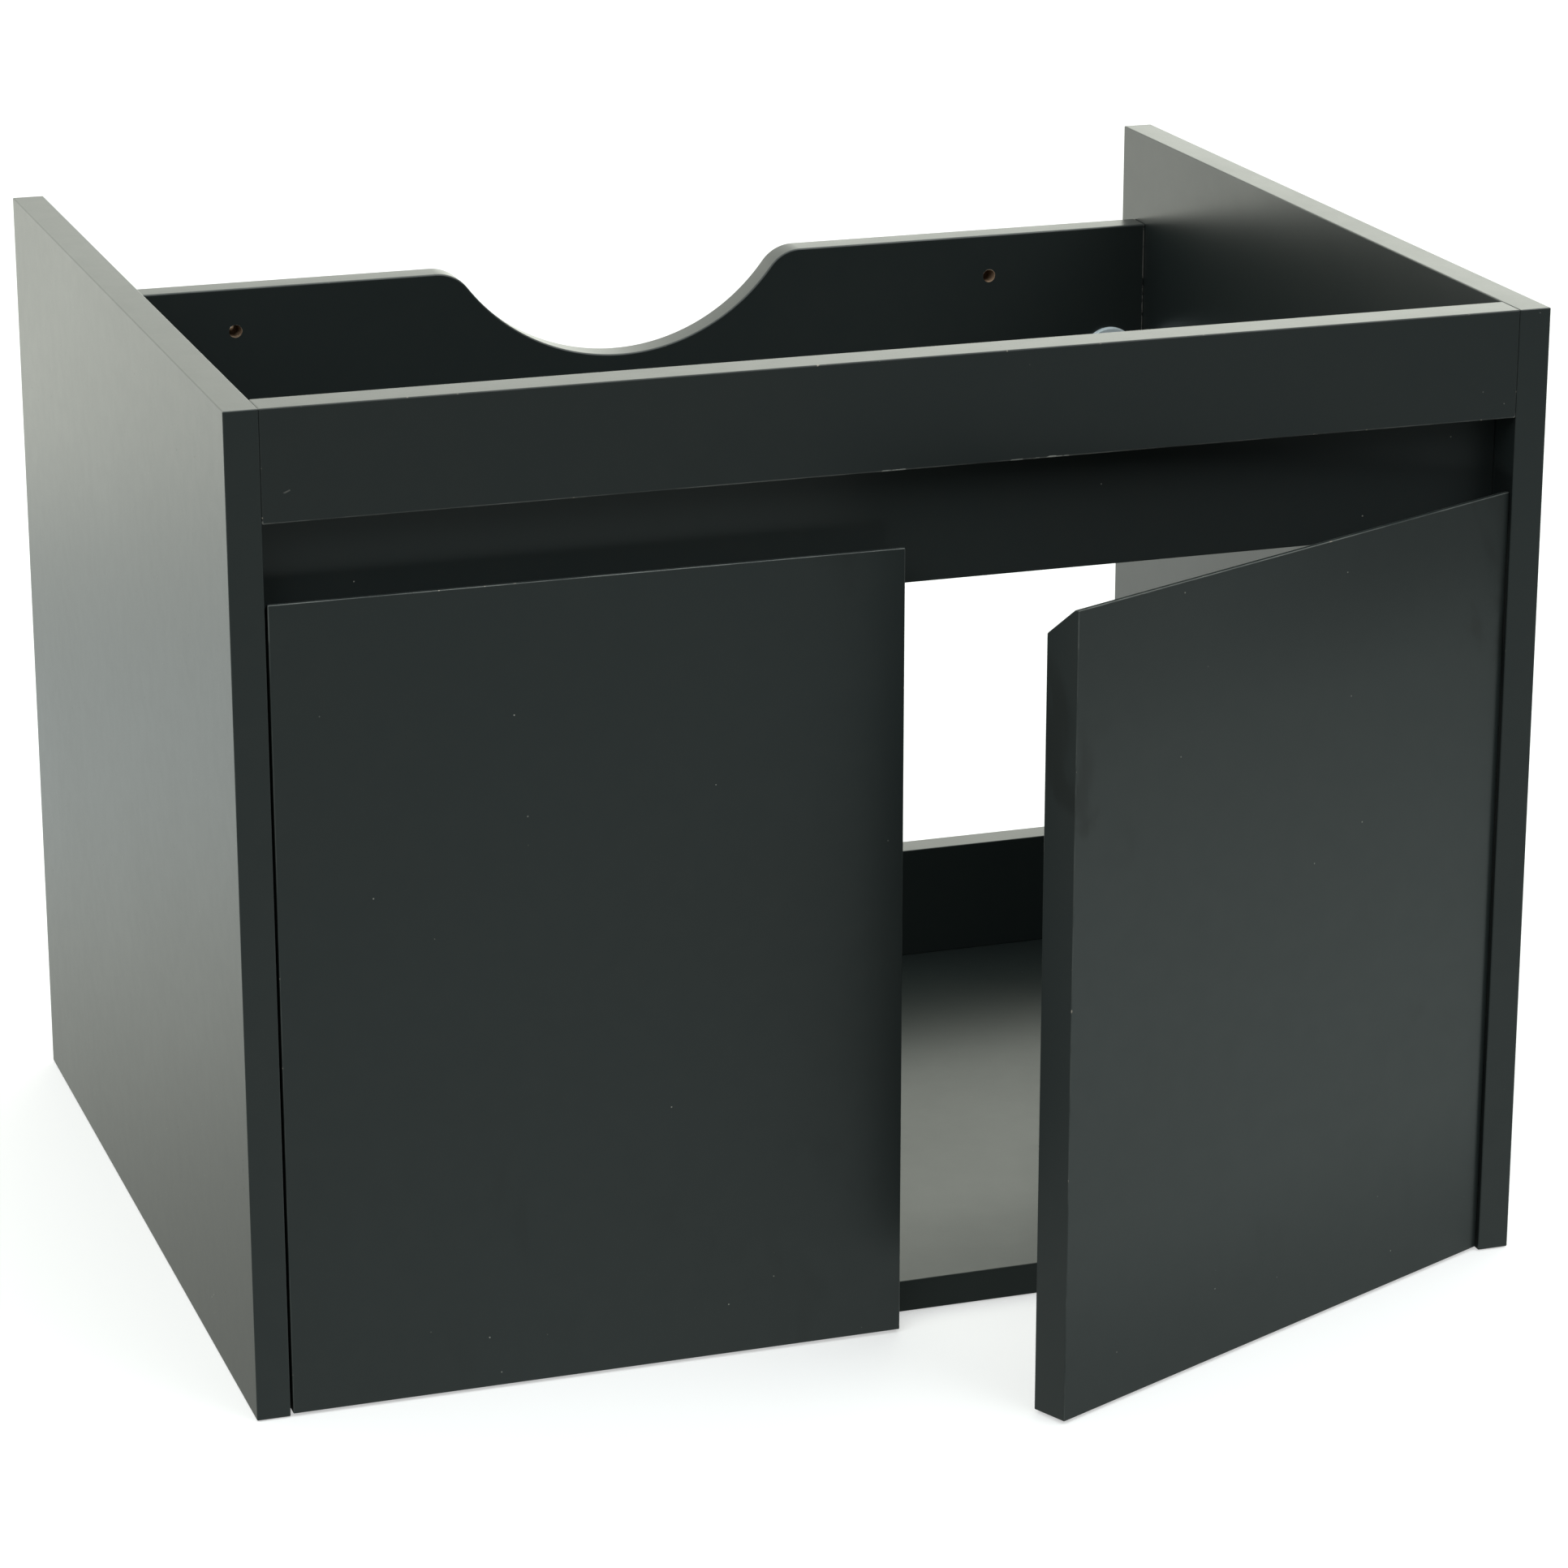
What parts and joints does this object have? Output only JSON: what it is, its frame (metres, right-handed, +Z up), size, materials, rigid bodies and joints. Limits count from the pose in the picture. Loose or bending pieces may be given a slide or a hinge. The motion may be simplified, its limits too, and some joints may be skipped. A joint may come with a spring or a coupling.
{
  "type": "sink base cabinet",
  "caption": "Wall-hung base cabinet for a washbasin, with inset doors on concealed hinges, a set-back finger pull and an open top and back for the basin and its pipes.",
  "frame": {"origin": "centre of the carcass footprint, on the underside of the bottom panel", "axes": "+Z up, the doors face -Y, the wall side is +Y, +X is to the right seen from the front"},
  "size_m": [0.6, 0.5747, 0.45],
  "materials": {
    "board": "satin anthracite paint on fibreboard",
    "hinge_steel": "nickel-plated stamped steel",
    "hinge_cup": "nickel-plated stamped steel",
    "screw": "zinc-plated steel",
    "connector": "moulded pale plastic",
    "bumper": "soft translucent buffer"
  },
  "bodies": {
    "carcass": {"side_panel_left": "board", "side_panel_right": "board", "bottom_panel": "board", "back_rail_upper": "board", "back_rail_lower": "board", "front_fascia": "board", "recess_rail": "board", "hinge_arm_left_upper": "hinge_steel", "hinge_plate_left_upper": "hinge_cup", "arm_screw_left_upper": "screw", "plate_screw_left_upper_a": "screw", "plate_screw_left_upper_b": "screw", "hinge_arm_left_lower": "hinge_steel", "hinge_plate_left_lower": "hinge_cup", "arm_screw_left_lower": "screw", "plate_screw_left_lower_a": "screw", "plate_screw_left_lower_b": "screw", "connector_housing_left": "connector", "connector_bolt_left": "screw", "hinge_arm_right_upper": "hinge_steel", "hinge_plate_right_upper": "hinge_cup", "arm_screw_right_upper": "screw", "plate_screw_right_upper_a": "screw", "plate_screw_right_upper_b": "screw", "hinge_arm_right_lower": "hinge_steel", "hinge_plate_right_lower": "hinge_cup", "arm_screw_right_lower": "screw", "plate_screw_right_lower_a": "screw", "plate_screw_right_lower_b": "screw", "connector_housing_right": "connector", "connector_bolt_right": "screw"},
    "door_left": {"door_left": "board", "door_bumper_left_upper": "bumper", "door_bumper_left_lower": "bumper", "hinge_cup_left_upper": "hinge_cup", "cup_screw_left_upper_a": "screw", "cup_screw_left_upper_b": "screw", "hinge_cup_left_lower": "hinge_cup", "cup_screw_left_lower_a": "screw", "cup_screw_left_lower_b": "screw"},
    "outer_links_left": {"hinge_outer_link_left_upper": "hinge_steel", "hinge_outer_link_left_lower": "hinge_steel"},
    "inner_links_left": {"hinge_inner_link_left_upper": "hinge_steel", "hinge_inner_link_left_lower": "hinge_steel"},
    "door_right": {"door_right": "board", "door_bumper_right_upper": "bumper", "door_bumper_right_lower": "bumper", "hinge_cup_right_upper": "hinge_cup", "cup_screw_right_upper_a": "screw", "cup_screw_right_upper_b": "screw", "hinge_cup_right_lower": "hinge_cup", "cup_screw_right_lower_a": "screw", "cup_screw_right_lower_b": "screw"},
    "outer_links_right": {"hinge_outer_link_right_upper": "hinge_steel", "hinge_outer_link_right_lower": "hinge_steel"},
    "inner_links_right": {"hinge_inner_link_right_upper": "hinge_steel", "hinge_inner_link_right_lower": "hinge_steel"}
  },
  "joints": [
    {"name": "outer_links_left_pivot", "type": "hinge", "parent": "carcass", "child": "outer_links_left", "pos_m": [-0.2416, -0.2066, 0], "axis": [0, 0, -1], "range_deg": [-27.75, 0.2]},
    {"name": "door_left_pivot", "type": "hinge", "parent": "outer_links_left", "child": "door_left", "pos_m": [-0.2714, -0.2198, 0], "axis": [0, 0, -1], "range_deg": [0, 122.55]},
    {"name": "inner_links_left_pivot", "type": "hinge", "parent": "carcass", "child": "inner_links_left", "pos_m": [-0.24, -0.1996, 0], "axis": [0, 0, -1], "range_deg": [-39.15, 0.2]},
    {"name": "outer_links_right_pivot", "type": "hinge", "parent": "carcass", "child": "outer_links_right", "pos_m": [0.2416, -0.2066, 0], "axis": [0, 0, 1], "range_deg": [-20.56, 7.39]},
    {"name": "door_right_pivot", "type": "hinge", "parent": "outer_links_right", "child": "door_right", "pos_m": [0.26951, -0.22343, 0], "axis": [0, 0, 1], "range_deg": [-31.99, 90.56]},
    {"name": "inner_links_right_pivot", "type": "hinge", "parent": "carcass", "child": "inner_links_right", "pos_m": [0.24, -0.1996, 0], "axis": [0, 0, 1], "range_deg": [-28.98, 10.37]}
  ],
  "couplings": [
    {"joint": "outer_links_left_pivot", "follows": "door_left_pivot", "ratio": -0.22481},
    {"joint": "inner_links_left_pivot", "follows": "door_left_pivot", "ratio": -0.31783},
    {"joint": "outer_links_right_pivot", "follows": "door_right_pivot", "ratio": -0.22481},
    {"joint": "inner_links_right_pivot", "follows": "door_right_pivot", "ratio": -0.31783}
  ]
}
